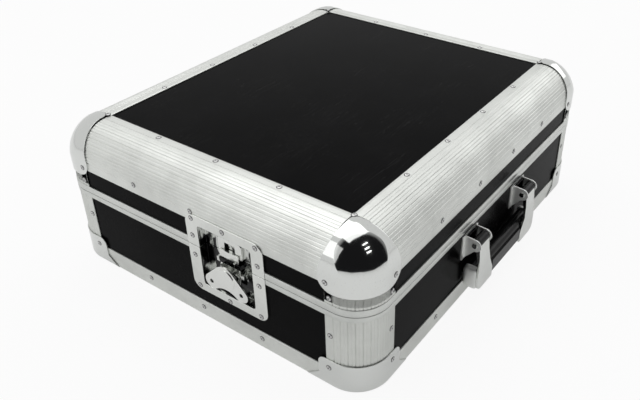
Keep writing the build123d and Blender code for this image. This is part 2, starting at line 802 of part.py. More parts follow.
def hinge_leaf(middle, far_height, joggle_height, step):
    """The section of one leaf with its knuckle, from the panel face out over the band."""
    with BuildSketch(Plane.YZ.offset(middle - hinge_width / 2)) as leaf:
        with BuildLine():
            Polyline(
                (panel_y, far_height), (panel_y, joggle_height),
                (leaf_inner, joggle_height + step * leaf_step), (leaf_inner, parting_height),
                (leaf_inner + hinge_sheet, parting_height),
                (leaf_inner + hinge_sheet, joggle_height + step * (leaf_step - hinge_bend)),
                (panel_y + hinge_sheet, joggle_height - step * hinge_bend),
                (panel_y + hinge_sheet, far_height), close=True,
            )
        make_face()
        with Locations((hinge_y, parting_height)):
            Circle(hinge_knuckle_radius)
    return leaf.sketch


hinge_low = hinge_knuckle_radius + hinge_gap
with BuildPart() as hinge_base_leaves:
    for middle in hinge_middles:
        leaf_section = hinge_leaf(middle, parting_height - hinge_leaf_height, hinge_step_low, 1)
        extrude(leaf_section, amount=hinge_width)
        block(
            middle - hinge_knuckle / 2 - hinge_gap, middle + hinge_knuckle / 2 + hinge_gap,
            half_d, case_depth, parting_height - hinge_low, case_width, mode=Mode.SUBTRACT,
        )
        with Locations(Location((middle, hinge_y, parting_height), (0, 90, 0))):
            Cylinder(hinge_pin_radius + hinge_pin_hole, 2 * hinge_width, mode=Mode.SUBTRACT)
save(hinge_base_leaves.part, "hinge_base_leaves")

with BuildPart() as hinge_lid_leaves:
    for middle in hinge_middles:
        leaf_section = hinge_leaf(middle, parting_height + hinge_lid_leaf_height, hinge_step_high, -1)
        extrude(leaf_section, amount=hinge_width)
        for side in (-1, 1):
            block(
                middle + side * hinge_knuckle / 2, middle + side * hinge_width,
                half_d, case_depth, 0, parting_height + hinge_low, mode=Mode.SUBTRACT,
            )
        with Locations(Location((middle, hinge_y, parting_height), (0, 90, 0))):
            Cylinder(hinge_pin_radius + hinge_pin_play, 2 * hinge_width, mode=Mode.SUBTRACT)
save(hinge_lid_leaves.part, "hinge_lid_leaves")

with BuildPart() as hinge_pins:
    for middle in hinge_middles:
        with Locations(Location((middle, hinge_y, parting_height), (0, 90, 0))):
            Cylinder(hinge_pin_radius, hinge_width)
        for side in (-1, 1):
            head_middle = middle + side * (hinge_width + hinge_head_height) / 2
            with Locations(Location((head_middle, hinge_y, parting_height), (0, 90, 0))):
                Cylinder(hinge_head_radius, hinge_head_height)
save(hinge_pins.part, "hinge_pins")


# Rivet heads, seated on the flats of the metal parts
def rivet(x, y, z, facing):
    """One low rivet head whose seat is at the point."""
    with BuildSketch(Plane(origin=(x, y, z), z_dir=facing)) as seat:
        RegularPolygon(rivet_radius, rivet_sides)
    with BuildSketch(Plane(origin=(x, y, z), z_dir=facing).offset(rivet_height)) as crown:
        RegularPolygon(rivet_top_radius, rivet_sides)
    loft([seat.sketch.face(), crown.sketch.face()])


corner_face_x = half_w + corner_sheet
corner_face_y = half_d + corner_sheet
post_rivet_height = parting_height - post_rivet_drop
short_rivet_height = parting_height + short_rivet_rise
ball_rivet_height = top_height - ball_rivet_drop
flat_top = top_height - round_radius
dish_side = dish_width / 2 - dish_rivet_side
dish_corner = dish_width / 2 - dish_rivet_inset
with BuildPart() as base_rivets:
    for side_x in (-1, 1):
        for side_y in (-1, 1):
            post_x = side_x * (half_w - post_rivet_inset)
            post_y = side_y * (half_d - post_rivet_inset)
            foot_x = side_x * (half_w - foot_rivet_inset)
            foot_y = side_y * (half_d - foot_rivet_inset)
            rivet(side_x * half_w, post_y, post_rivet_height, (side_x, 0, 0))
            rivet(post_x, side_y * half_d, post_rivet_height, (0, side_y, 0))
            rivet(side_x * corner_face_x, foot_y, foot_rivet_height, (side_x, 0, 0))
            rivet(foot_x, side_y * corner_face_y, foot_rivet_height, (0, side_y, 0))
            low_corner = latch_offset + side_y * dish_corner
            low_side = latch_offset + side_y * dish_side
            rivet(side_x * flange_face, low_corner, dish_bottom + dish_rivet_edge, (side_x, 0, 0))
            rivet(side_x * flange_face, low_side, parting_height - dish_rivet_low, (side_x, 0, 0))
        rivet(side_x * flange_face, latch_offset, dish_bottom + dish_rivet_middle_inset, (side_x, 0, 0))
        for share in side_rivet_places:
            rivet(side_x * half_w, share * case_depth, edge_rivet_height, (side_x, 0, 0))
        for share in front_rivet_places:
            rivet(share * case_width, side_x * half_d, edge_rivet_height, (0, side_x, 0))
    for middle in hinge_middles:
        for side in (-1, 1):
            leaf_x = middle + side * hinge_width / 3
            rivet(leaf_x, panel_y + hinge_sheet, parting_height - hinge_rivet_step, (0, 1, 0))
save(base_rivets.part, "base_rivets")

with BuildPart() as lid_rivets:
    for side_x in (-1, 1):
        for side_y in (-1, 1):
            post_x = side_x * (half_w - post_rivet_inset)
            post_y = side_y * (half_d - post_rivet_inset)
            tab_x = side_x * (half_w - ball_rivet_inset)
            tab_y = side_y * (half_d - ball_rivet_inset)
            rivet(side_x * half_w, post_y, short_rivet_height, (side_x, 0, 0))
            rivet(post_x, side_y * half_d, short_rivet_height, (0, side_y, 0))
            rivet(side_x * corner_face_x, tab_y, ball_rivet_height, (side_x, 0, 0))
            rivet(tab_x, side_y * corner_face_y, ball_rivet_height, (0, side_y, 0))
            rivet(tab_x, tab_y, top_height + corner_sheet, (0, 0, 1))
            high_corner = latch_offset + side_y * dish_corner
            high_side = latch_offset + side_y * dish_side
            rivet(side_x * flange_face, high_corner, dish_top - dish_rivet_edge, (side_x, 0, 0))
            rivet(side_x * flange_face, high_side, parting_height + dish_rivet_high, (side_x, 0, 0))
        rivet(side_x * flange_face, latch_offset, dish_top - dish_rivet_edge, (side_x, 0, 0))
        for share in side_rivet_places:
            rivet(side_x * (half_w - lip_rivet_inset), share * case_depth, top_height, (0, 0, 1))
        for share in side_rivet_places[1:]:
            rivet(side_x * half_w, share * case_depth, flat_top, (side_x, 0, 0))
        for share in front_rivet_places:
            rivet(share * case_width, side_x * (half_d - lip_rivet_inset), top_height, (0, 0, 1))
            rivet(share * case_width, side_x * half_d, flat_top, (0, side_x, 0))
    for middle in hinge_middles:
        for side in (-1, 1):
            leaf_x = middle + side * hinge_width / 3
            rivet(leaf_x, panel_y + hinge_sheet, parting_height + hinge_rivet_step, (0, 1, 0))
save(lid_rivets.part, "lid_rivets")
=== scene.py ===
import math

import bmesh
import bpy
import numpy as np
from mathutils import Euler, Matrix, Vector


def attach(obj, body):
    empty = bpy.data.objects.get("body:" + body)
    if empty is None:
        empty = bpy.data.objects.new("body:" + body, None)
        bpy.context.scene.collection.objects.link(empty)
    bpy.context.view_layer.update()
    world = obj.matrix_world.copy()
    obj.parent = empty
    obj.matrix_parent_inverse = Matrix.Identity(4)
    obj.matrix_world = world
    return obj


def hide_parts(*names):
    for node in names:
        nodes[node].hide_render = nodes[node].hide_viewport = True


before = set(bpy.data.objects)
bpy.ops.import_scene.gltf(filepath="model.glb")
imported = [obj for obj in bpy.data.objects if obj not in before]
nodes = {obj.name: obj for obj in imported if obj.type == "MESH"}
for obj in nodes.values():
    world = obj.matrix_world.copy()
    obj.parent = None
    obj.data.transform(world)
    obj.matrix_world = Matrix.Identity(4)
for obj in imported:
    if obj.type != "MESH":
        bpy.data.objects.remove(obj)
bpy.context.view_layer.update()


# Camera. The photograph looks down on the left front corner of the case from close by, with the
# handle on the right. Lens and shift are those of a 36 mm sensor. The middle of the case lies
# case_shift behind the middle of the whole, because the handle reaches further than the hinges.
case_shift = 0.0064
eye_place = (-0.6836, case_shift - 0.5147, 0.6001)
eye_azimuth, eye_elevation, eye_roll = -54.74, 32.13, -0.24
lens = bpy.data.cameras.new("lens")
lens.sensor_width = 36.0
lens.lens = 41.52
lens.shift_x = -0.0600
lens.shift_y = -0.0459
camera = bpy.data.objects.new("camera", lens)
bpy.context.scene.collection.objects.link(camera)
turn, lean = math.radians(eye_azimuth), math.radians(eye_elevation)
level = math.cos(lean)
toward = Vector((-math.sin(turn) * level, math.cos(turn) * level, -math.sin(lean)))
camera.location = eye_place
camera.rotation_mode = "QUATERNION"
upright = toward.to_track_quat("-Z", "Y")
camera.rotation_quaternion = upright @ Euler((0, 0, math.radians(eye_roll))).to_quaternion()
bpy.context.scene.camera = camera


# Studio. A plain pale floor and an even room, both white behind the case, one wide soft box above
# it, smaller ones at its left and right, and three narrow tubes. The room is dark towards the left
# front, where the bright metal mirrors it.
bpy.context.scene.view_settings.view_transform = "Standard"


def shader(name, color=(0.5, 0.5, 0.5), metallic=0.0, roughness=0.5, specular=0.5):
    """A new material and its surface shader, with plain starting values."""
    surface = bpy.data.materials.new(name)
    surface.use_nodes = True
    main = surface.node_tree.nodes["Principled BSDF"]
    main.inputs["Base Color"].default_value = (*color, 1.0)
    main.inputs["Metallic"].default_value = metallic
    main.inputs["Roughness"].default_value = roughness
    main.inputs["Specular IOR Level"].default_value = specular
    return surface, main


def grid_mesh(name, points, close_u=False, close_v=False, ends=False, poles=(), sharp=35):
    """A mesh over a grid of points, rows by columns: each cell becomes one four-sided face, a
    closed direction joins its last line to its first, ends fill the first and last columns, and
    poles fill the first (0) or last (-1) row. Edges stay sharp past an angle in degrees."""
    rows, columns = points.shape[:2]
    numbers = np.arange(rows * columns).reshape(rows, columns)
    caps = [numbers[::-1, 0].tolist(), numbers[:, -1].tolist()] if ends else []
    caps += [numbers[pole, :: -1 if pole else 1].tolist() for pole in poles]
    if close_u:
        numbers = np.concatenate([numbers, numbers[:1]], axis=0)
    if close_v:
        numbers = np.concatenate([numbers, numbers[:, :1]], axis=1)
    faces = np.stack(
        [numbers[:-1, :-1], numbers[1:, :-1], numbers[1:, 1:], numbers[:-1, 1:]], axis=-1
    ).reshape(-1, 4)
    mesh = bpy.data.meshes.new(name)
    mesh.from_pydata(points.reshape(-1, 3).tolist(), [], faces.tolist() + caps)
    mesh.shade_smooth()
    mesh.set_sharp_from_angle(angle=math.radians(sharp))
    mesh.update()
    return mesh


def place(name, mesh, surface):
    """An object at the origin for a mesh that already lies where the piece belongs."""
    piece = bpy.data.objects.new(name, mesh)
    mesh.materials.append(surface)
    bpy.context.scene.collection.objects.link(piece)
    return piece


def seen_by(tree, camera_share, glossy_share, transmission_share):
    """The share of plain white that each kind of ray sees, added up to one output."""
    path = tree.nodes.new("ShaderNodeLightPath")
    kinds = ("Is Camera Ray", "Is Glossy Ray", "Is Transmission Ray")
    total = None
    for kind, amount in zip(kinds, (camera_share, glossy_share, transmission_share)):
        part = tree.nodes.new("ShaderNodeMath")
        part.operation = "MULTIPLY_ADD"
        part.inputs[1].default_value = amount
        part.inputs[2].default_value = 0.0
        tree.links.new(path.outputs[kind], part.inputs[0])
        if total:
            tree.links.new(total, part.inputs[2])
        total = part.outputs[0]
    return total


floor_reach, floor_lines, floor_white, floor_shares = 14.0, 9, 0.86, (0.92, 0.4, 0.4)
steps = np.linspace(-floor_reach, floor_reach, floor_lines)
floor_x, floor_y = np.meshgrid(steps, steps, indexing="ij")
floor_points = np.stack([floor_x, floor_y, np.zeros_like(floor_x)], axis=-1)
floor_surface, floor_main = shader("studio_floor", 3 * (floor_white,), roughness=0.9, specular=0.1)
floor_nodes, floor_links = floor_surface.node_tree.nodes, floor_surface.node_tree.links
white = floor_nodes.new("ShaderNodeEmission")
lift = floor_nodes.new("ShaderNodeMixShader")
floor_links.new(seen_by(floor_surface.node_tree, *floor_shares), lift.inputs["Fac"])
floor_links.new(floor_main.outputs[0], lift.inputs[1])
floor_links.new(white.outputs[0], lift.inputs[2])
floor_links.new(lift.outputs[0], floor_nodes["Material Output"].inputs["Surface"])
floor = place("floor", grid_mesh("floor", floor_points), floor_surface)

# The room's colour runs from pale to dark with the cosine between a way and the dark side.
dark_side, dark_steps = (-0.54, -0.73, 0.42), (0.34, 0.52)
room_pale, room_dark = (0.9, 0.9, 0.9), (0.006, 0.006, 0.007)
room_light, backdrop_white, backdrop_shares = 0.8, 0.985, (1.0, 0.005, 1.0)
room = bpy.data.worlds.new("room")
bpy.context.scene.world = room
room.use_nodes = True
room_nodes, room_links = room.node_tree.nodes, room.node_tree.links
room_way = room_nodes.new("ShaderNodeTexCoord")
dark_way = room_nodes.new("ShaderNodeVectorMath")
dark_way.operation = "DOT_PRODUCT"
dark_way.inputs[1].default_value = dark_side
room_links.new(room_way.outputs["Generated"], dark_way.inputs[0])
shade = room_nodes.new("ShaderNodeValToRGB")
room_links.new(dark_way.outputs["Value"], shade.inputs["Fac"])
for stop, position, color in zip(shade.color_ramp.elements, dark_steps, (room_pale, room_dark)):
    stop.position = position
    stop.color = (*color, 1.0)
room_links.new(shade.outputs["Color"], room_nodes["Background"].inputs["Color"])
room_nodes["Background"].inputs["Strength"].default_value = room_light
backdrop = room_nodes.new("ShaderNodeBackground")
backdrop.inputs["Color"].default_value = (*3 * (backdrop_white,), 1.0)
room_mix = room_nodes.new("ShaderNodeMixShader")
room_links.new(seen_by(room.node_tree, *backdrop_shares), room_mix.inputs["Fac"])
room_links.new(room_nodes["Background"].outputs[0], room_mix.inputs[1])
room_links.new(backdrop.outputs[0], room_mix.inputs[2])
room_links.new(room_mix.outputs[0], room_nodes["World Output"].inputs["Surface"])


def soft_box(name, place_at, aim, width, height, power):
    """One area lamp, its size in metres and its power in watts, that faces a point on the case and
    isn't seen itself."""
    lamp = bpy.data.lights.new(name, "AREA")
    lamp.shape = "RECTANGLE"
    lamp.size, lamp.size_y, lamp.energy = width, height, power
    box = bpy.data.objects.new(name, lamp)
    bpy.context.scene.collection.objects.link(box)
    box.location = place_at
    box.rotation_mode = "QUATERNION"
    box.rotation_quaternion = (Vector(aim) - Vector(place_at)).to_track_quat("-Z", "Y")
    box.visible_camera = False


case_aim, corner_aim = (0, 0, 0.1), (-0.2, -0.2, 0.1)
tube_places = ((-0.639, -1.988, 1.575), (-0.549, -1.708, 1.800), (-0.441, -1.372, 2.025))
soft_box("top_box", (0.15, 0.5, 2.6), case_aim, 2.8, 2.8, 30)
soft_box("left_box", (-2.3, 0.9, 1.5), case_aim, 1.75, 1.75, 6)
soft_box("right_box", (2.5, -0.7, 1.5), case_aim, 1.7, 1.3, 6)
for number, tube_place in enumerate(tube_places):
    soft_box(f"tube_{number}", tube_place, corner_aim, 0.42, 0.05, 0.6)


# Black panels. Seven millimetre plywood with a smooth black laminate, held in the channels of the
# profiles. The laminate has a very fine stipple, faint smudges, dust and hairline scratches.
def math_node(tree, operation, first, second=None):
    """A Math node whose inputs are each a number or a socket; returns its output."""
    node = tree.nodes.new("ShaderNodeMath")
    node.operation = operation
    for socket, value in zip(node.inputs, (first, second)):
        if isinstance(value, (int, float)):
            socket.default_value = value
        elif value is not None:
            tree.links.new(value, socket)
    return node.outputs[0]


def times(tree, mask, share):
    """A mask times a number or another mask."""
    return math_node(tree, "MULTIPLY", mask, share)


def noise(tree, vector, scale, detail=2.0, roughness=0.5):
    """A Noise texture's value at a scale in cycles per metre."""
    node = tree.nodes.new("ShaderNodeTexNoise")
    node.inputs["Scale"].default_value = scale
    node.inputs["Detail"].default_value = detail
    node.inputs["Roughness"].default_value = roughness
    tree.links.new(vector, node.inputs["Vector"])
    return node.outputs["Fac"]


def band(tree, value, low, high, to_low=0.0, to_high=1.0):
    """The value mapped from one range to another and clamped."""
    node = tree.nodes.new("ShaderNodeMapRange")
    sockets = ("From Min", "From Max", "To Min", "To Max")
    for socket, number in zip(sockets, (low, high, to_low, to_high)):
        node.inputs[socket].default_value = number
    tree.links.new(value, node.inputs["Value"])
    return node.outputs["Result"]


# Shared wear: smudges a few centimetres across, specks of dust and hairline scratches in patches.
wear = bpy.data.node_groups.new("wear", "ShaderNodeTree")
wear.interface.new_socket("Vector", in_out="INPUT", socket_type="NodeSocketVector")
for mask in ("Smudge", "Dust", "Scratch"):
    wear.interface.new_socket(mask, in_out="OUTPUT", socket_type="NodeSocketFloat")
wear_in = wear.nodes.new("NodeGroupInput")
wear_out = wear.nodes.new("NodeGroupOutput")
spot = wear_in.outputs["Vector"]
smudge = band(wear, noise(wear, spot, 16, 4, 0.6), 0.42, 0.72)
wear.links.new(smudge, wear_out.inputs["Smudge"])
speck = band(wear, noise(wear, spot, 900, 1, 0.4), 0.68, 0.78)
cloud = band(wear, noise(wear, spot, 7, 3), 0.45, 0.65)
wear.links.new(times(wear, speck, cloud), wear_out.inputs["Dust"])
hairline, hair_stretch, hairlines = 0.006, (1.0, 26.0, 26.0), []
for hair_turn in ((0.3, 0.9, 0.5), (1.1, 0.2, 1.7)):
    mapping = wear.nodes.new("ShaderNodeMapping")
    mapping.inputs["Rotation"].default_value = hair_turn
    mapping.inputs["Scale"].default_value = hair_stretch
    wear.links.new(spot, mapping.inputs["Vector"])
    ridge = noise(wear, mapping.outputs["Vector"], 9, 1, 0.3)
    off_ridge = math_node(wear, "ABSOLUTE", math_node(wear, "SUBTRACT", ridge, 0.5))
    hairlines.append(band(wear, off_ridge, 0.0, hairline, 1.0, 0.0))
patch = band(wear, noise(wear, spot, 11, 2), 0.5, 0.62)
scratch = times(wear, math_node(wear, "MAXIMUM", *hairlines), patch)
wear.links.new(scratch, wear_out.inputs["Scratch"])


def worn(tree):
    """The object's own coordinates and the shared wear masks of a material."""
    own_place = tree.nodes.new("ShaderNodeTexCoord")
    group = tree.nodes.new("ShaderNodeGroup")
    group.node_tree = wear
    tree.links.new(own_place.outputs["Object"], group.inputs["Vector"])
    return own_place.outputs["Object"], group.outputs


def blend(tree, mask, first, second):
    """A colour between two colours or colour sockets, by a mask."""
    node = tree.nodes.new("ShaderNodeMix")
    node.data_type = "RGBA"
    for socket, value in ((node.inputs[6], first), (node.inputs[7], second)):
        if isinstance(value, tuple):
            socket.default_value = (*value, 1.0)
        else:
            tree.links.new(value, socket)
    tree.links.new(mask, node.inputs[0])
    return node.outputs[2]


def bump(tree, main, height, distance):
    """A bump from a height in its own unit, deep as the distance in metres."""
    node = tree.nodes.new("ShaderNodeBump")
    node.inputs["Distance"].default_value = distance
    node.inputs["Strength"].default_value = 1.0
    tree.links.new(height, node.inputs["Height"])
    tree.links.new(node.outputs["Normal"], main.inputs["Normal"])


laminate_black, laminate_smeared = (0.0034, 0.0034, 0.0036), (0.0048, 0.0048, 0.0051)
laminate_scratch, laminate_dust = (0.055, 0.055, 0.055), (0.11, 0.105, 0.10)
laminate, laminate_main = shader("black_laminate", specular=0.022)
tree = laminate.node_tree
spot, masks = worn(tree)
stipple = noise(tree, spot, 1400, 2, 0.6)
shown = blend(tree, masks["Smudge"], laminate_black, laminate_smeared)
shown = blend(tree, times(tree, masks["Scratch"], 0.35), shown, laminate_scratch)
shown = blend(tree, times(tree, masks["Dust"], 0.3), shown, laminate_dust)
tree.links.new(shown, laminate_main.inputs["Base Color"])
smeared = band(tree, masks["Smudge"], 0, 1, 0.14, 0.22)
gloss = math_node(tree, "ADD", smeared, times(tree, stipple, 0.06))
tree.links.new(gloss, laminate_main.inputs["Roughness"])
bump(tree, laminate_main, stipple, 0.00004)
for name in sorted(nodes):
    if name.endswith(("_panel", "_strip")):
        nodes[name].data.materials.clear()
        nodes[name].data.materials.append(laminate)


# Lid edge profiles. Extruded aluminium, rounded at 40 mm with fine flutes, riveted over the
# edges of the top board and the lid's side strips. The metal is satin, with drawing lines.
case_width, case_depth, case_top = 0.530, 0.455, 0.1886
half_w, half_d = case_width / 2, case_depth / 2
profile_radius, profile_sheet, profile_flat, profile_lip = 0.040, 0.0015, 0.0005, 0.004
top_cover, side_cover, lip_round = 0.050, 0.0514, 0.0004
flute_depth, flute_wide, flute_shallow, flute_steps = 0.00050, 0.0013, 0.6, 16
arc_points, inner_points = 257, 19


def rounded(reach, angles):
    """Points at a reach from the profile's middle: its radius less the reach times the sine and
    cosine of each angle."""
    across = profile_radius - reach * np.sin(angles)
    return np.stack([across, profile_radius - reach * np.cos(angles)], 1)


def fluted_section(cover_a, cover_b):
    """The closed outline of a rounded profile in the frame of its sharp outer corner: a flat, an
    arc whose radius dips at each flute by a raised cosine, deep and shallow by turns, a flat, and
    the same line one sheet inside."""
    angles = np.linspace(0, np.pi / 2, arc_points)
    pitch = np.pi / 2 / flute_steps
    number = np.round(angles / pitch)
    off = np.abs(angles - number * pitch) * profile_radius / (flute_wide / 2)
    depth = flute_depth * np.where(number % 2 == 0, 1.0, flute_shallow)
    radius = profile_radius - depth * np.where(off < 1, 0.5 + 0.5 * np.cos(np.pi * off), 0)
    arc = rounded(radius, angles)
    inner = rounded(profile_radius - profile_sheet, np.linspace(np.pi / 2, 0, inner_points))
    soft, low, flat = lip_round, 0.3 * lip_round, profile_radius + profile_flat
    return np.concatenate([
        [(cover_a, profile_sheet - soft), (cover_a, soft), (cover_a - low, low)],
        [(cover_a - soft, 0), (cover_a - profile_lip, 0), (flat, 0)],
        arc,
        [(0, flat), (0, cover_b - profile_lip), (0, cover_b - soft)],
        [(low, cover_b - low), (soft, cover_b), (profile_sheet - soft, cover_b)],
        inner,
    ])[::-1]


def drawn(name, section, start, a_way, b_way, along, length):
    """A section drawn straight along a direction: each point is the start plus its two distances
    along the section's ways plus its distance along the profile."""
    end, near_end = 0.0002, 0.02
    stations = np.array([0.0, end, near_end, length / 2, length - near_end, length - end, length])
    flat = np.asarray(start) + section[:, :1] * np.asarray(a_way)
    flat = flat + section[:, 1:] * np.asarray(b_way)
    points = flat[:, None, :] + stations[None, :, None] * np.asarray(along)
    if np.dot(np.cross(a_way, b_way), along) < 0:
        points = points[:, ::-1]
    return grid_mesh(name, points, close_u=True, ends=True)


def finish(piece, body, slot, *stands_for):
    """Fix a piece to its body and hide the CAD pieces it stands for."""
    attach(piece, body)
    if stands_for:
        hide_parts(*stands_for)


def satin(name, color, roughness, stretch, grain=0.02):
    """Drawn or rolled metal: lines stretched along one way vary its roughness and bump, smudges
    dull it, scratches show brighter and dust greyer."""
    metal, main = shader(name, metallic=1.0)
    tree = metal.node_tree
    spot, masks = worn(tree)
    mapping = tree.nodes.new("ShaderNodeMapping")
    mapping.inputs["Scale"].default_value = stretch
    tree.links.new(spot, mapping.inputs["Vector"])
    drawn_lines = noise(tree, mapping.outputs["Vector"], 1600, 2, 0.6)
    dulled = tuple(0.88 * part for part in color)
    bared = tuple(min(1.0, 1.2 * part) for part in color)
    shown = blend(tree, masks["Smudge"], color, dulled)
    shown = blend(tree, times(tree, masks["Scratch"], 0.5), shown, bared)
    shown = blend(tree, times(tree, masks["Dust"], 0.25), shown, (0.3, 0.29, 0.28))
    tree.links.new(shown, main.inputs["Base Color"])
    smeared = band(tree, masks["Smudge"], 0, 1, roughness - 0.03, roughness + 0.04)
    matt = math_node(tree, "ADD", smeared, band(tree, drawn_lines, 0.3, 0.7, -grain, grain))
    tree.links.new(matt, main.inputs["Roughness"])
    height = math_node(tree, "SUBTRACT", drawn_lines, times(tree, masks["Scratch"], 0.6))
    bump(tree, main, height, 0.000008)
    return metal


along_x, along_y, along_z, plain = (0.02, 1, 1), (1, 0.02, 1), (1, 1, 0.02), (1, 1, 1)
# The corner profiles' aluminium is a darker copy of the same metal, as painted shade.
aluminium, post_aluminium_shaded, aluminium_matt = (0.785, 0.80, 0.77), (0.70, 0.715, 0.685), 0.44
aluminium_x = satin("aluminium_along_x", aluminium, aluminium_matt, along_x)
aluminium_y = satin("aluminium_along_y", aluminium, aluminium_matt, along_y)
aluminium_z_shaded = satin("aluminium_along_z_shaded", post_aluminium_shaded, aluminium_matt, along_z)
lid_section = fluted_section(top_cover, side_cover)
run_x, run_y = half_w - top_cover, half_d - top_cover
down = (0, 0, -1)
for end, way in (("left", 1), ("right", -1)):
    start = (-way * half_w, case_shift - run_y, case_top)
    ways = (way, 0, 0), down, (0, 1, 0)
    mesh = drawn(f"lid_profile_{end}_drawn", lid_section, start, *ways, 2 * run_y)
    piece = place(mesh.name, mesh, aluminium_y)
    finish(piece, "lid", "profile_aluminium", f"lid_profile_{end}")
for side, way in (("front", 1), ("rear", -1)):
    start = (-run_x, case_shift - way * half_d, case_top)
    ways = (0, way, 0), down, (1, 0, 0)
    mesh = drawn(f"lid_profile_{side}_drawn", lid_section, start, *ways, 2 * run_x)
    piece = place(mesh.name, mesh, aluminium_x)
    finish(piece, "lid", "profile_aluminium", f"lid_profile_{side}")


# Corner profiles. The same extrusion stands at the four corners of the base, from the bottom board
# to the closing band, and a short length of it fills each corner of the lid. Their aluminium is a
# darker copy of the lid profiles' metal, painted shade on these upright faces.
post_low, post_high, short_low, short_high = 0.0121, 0.0981, 0.1137, 0.1372
corner_ways = {
    "front_left": (1, 1), "front_right": (-1, 1), "rear_left": (1, -1), "rear_right": (-1, -1),
}
post_section = fluted_section(top_cover, top_cover)
for corner, (way_x, way_y) in corner_ways.items():
    foot = (-way_x * half_w, case_shift - way_y * half_d)
    ways = (way_x, 0, 0), (0, way_y, 0), (0, 0, 1)
    start, length = (*foot, post_low), post_high - post_low
    mesh = drawn(f"corner_profile_{corner}_drawn", post_section, start, *ways, length)
    piece = place(mesh.name, mesh, aluminium_z_shaded)
    finish(piece, "base", "profile_aluminium", f"base_corner_profile_{corner}")
    start, length = (*foot, short_low), short_high - short_low
    mesh = drawn(f"lid_corner_{corner}", post_section, start, *ways, length)
    piece = place(mesh.name, mesh, aluminium_z_shaded)
    finish(piece, "lid", "profile_aluminium", "lid_corner_profiles")


# Bottom edge profiles. Plain aluminium angles riveted under the panels between the bottom corners;
# their edges are eased. The CAD mesh is joined and its flat faces are merged before the bevel.
def eased(name, surface, body, slot, width, segments=2):
    """A copy of a CAD piece with joined facets, merged flat faces and a small bevel on edges."""
    weld, flat_turn, sharp_turn = 2e-6, math.radians(0.6), math.radians(32)
    mesh = nodes[name].data.copy()
    mesh.name = name + "_eased"
    work = bmesh.new()
    work.from_mesh(mesh)
    bmesh.ops.remove_doubles(work, verts=work.verts, dist=weld)
    bmesh.ops.dissolve_limit(work, angle_limit=flat_turn, verts=work.verts, edges=work.edges)
    work.to_mesh(mesh)
    work.free()
    mesh.materials.clear()
    mesh.shade_smooth()
    mesh.set_sharp_from_angle(angle=sharp_turn)
    piece = place(mesh.name, mesh, surface)
    finish(piece, body, slot, name)
    edge = piece.modifiers.new("edge", "BEVEL")
    edge.width, edge.segments = width, segments
    edge.limit_method, edge.angle_limit = "ANGLE", sharp_turn
    edge.use_clamp_overlap = True
    face = piece.modifiers.new("face", "WEIGHTED_NORMAL")
    face.keep_sharp = True


for sides, surface in ((("front", "rear"), aluminium_x), (("left", "right"), aluminium_y)):
    for side in sides:
        eased(f"base_edge_profile_{side}", surface, "base", "profile_aluminium", 0.0003)


# Closing profiles. Two satin aluminium bands meet at the parting line: a drafted tongue on the base
# runs in a groove of the lid. Each is bent around the corners and stops at the latch dishes.
dish_middle, stop_half, band_turn = -0.0465, {"rim": 0.0553, "ledge": 0.0395}, 28
band_out, band_in, ledge_in = -0.0006, 0.0015, 0.0100
base_low, base_ledge, base_high = 0.0981, 0.1030, 0.1047
lid_low, lid_ledge, lid_high = 0.1053, 0.1111, 0.1137
tongue_foot, tongue_tip, tongue_top = (0.0039, 0.0069), (0.0045, 0.0063), 0.1087
groove, groove_top = (0.0031, 0.0077), 0.1099


def bent_half(inset, stop, way):
    """Half of the case outline at an inset, from the left stop around the front (way 1) or the rear
    (way -1) to the right stop: two straight ends joined by two quarter circles."""
    radius = profile_radius - inset
    quarter = np.linspace(0, np.pi / 2, band_turn)
    turn_x = half_w - profile_radius + radius * np.cos(quarter)
    turn_y = half_d - profile_radius + radius * np.sin(quarter)
    left = np.stack([-turn_x, -way * turn_y], 1)
    right = np.stack([turn_x, -way * turn_y], 1)[::-1]
    return np.concatenate([[(inset - half_w, stop)], left, right, [(half_w - inset, stop)]])


def bent_band(name, outline, stop, way):
    """A closed outline of insets and heights carried around half of the case."""
    rows = []
    for inset, height in outline:
        path = bent_half(inset, stop, way) + (0, case_shift)
        rows.append(np.column_stack([path, np.full(len(path), height)]))
    points = np.stack(rows)
    return grid_mesh(name, points if way > 0 else points[:, ::-1], close_u=True, ends=True)


def rounded_outline(corners, radius=0.0003):
    """An outline whose corners are each cut by three points of a small round, the middle one 0.293
    (one less half the root of two) of the way to the two others."""
    corners = np.asarray(corners, dtype=float)
    before = np.roll(corners, 1, axis=0) - corners
    after = np.roll(corners, -1, axis=0) - corners
    before *= radius / np.linalg.norm(before, axis=1, keepdims=True)
    after *= radius / np.linalg.norm(after, axis=1, keepdims=True)
    middle = corners + 0.293 * (before + after)
    return np.stack([corners + before, middle, corners + after], axis=1).reshape(-1, 2)


band_shapes = {
    "base": {
        "rim": [
            (band_out, base_low), (band_in, base_low), (band_in, base_high), (band_out, base_high),
        ],
        "ledge": [
            (band_in, base_ledge), (ledge_in, base_ledge), (ledge_in, base_high),
            (tongue_foot[1], base_high), (tongue_tip[1], tongue_top), (tongue_tip[0], tongue_top),
            (tongue_foot[0], base_high), (band_in, base_high),
        ],
    },
    "lid": {
        "rim": [(band_out, lid_low), (band_in, lid_low), (band_in, lid_high), (band_out, lid_high)],
        "ledge": [
            (band_in, lid_low), (groove[0], lid_low), (groove[0], groove_top),
            (groove[1], groove_top), (groove[1], lid_low), (ledge_in, lid_low),
            (ledge_in, lid_ledge), (band_in, lid_ledge),
        ],
    },
}
bands = satin("band_aluminium", (0.68, 0.695, 0.67), 0.38, plain, 0.03)
for body, outlines in band_shapes.items():
    for side, way in (("front", 1), ("rear", -1)):
        for kind, outline in outlines.items():
            stop = dish_middle - way * stop_half[kind]
            name = f"{body}_closing_{side}_{kind}"
            piece = place(name, bent_band(name, rounded_outline(outline), stop, way), bands)
            finish(piece, body, "band_aluminium", f"{body}_closing_profile_{side}")


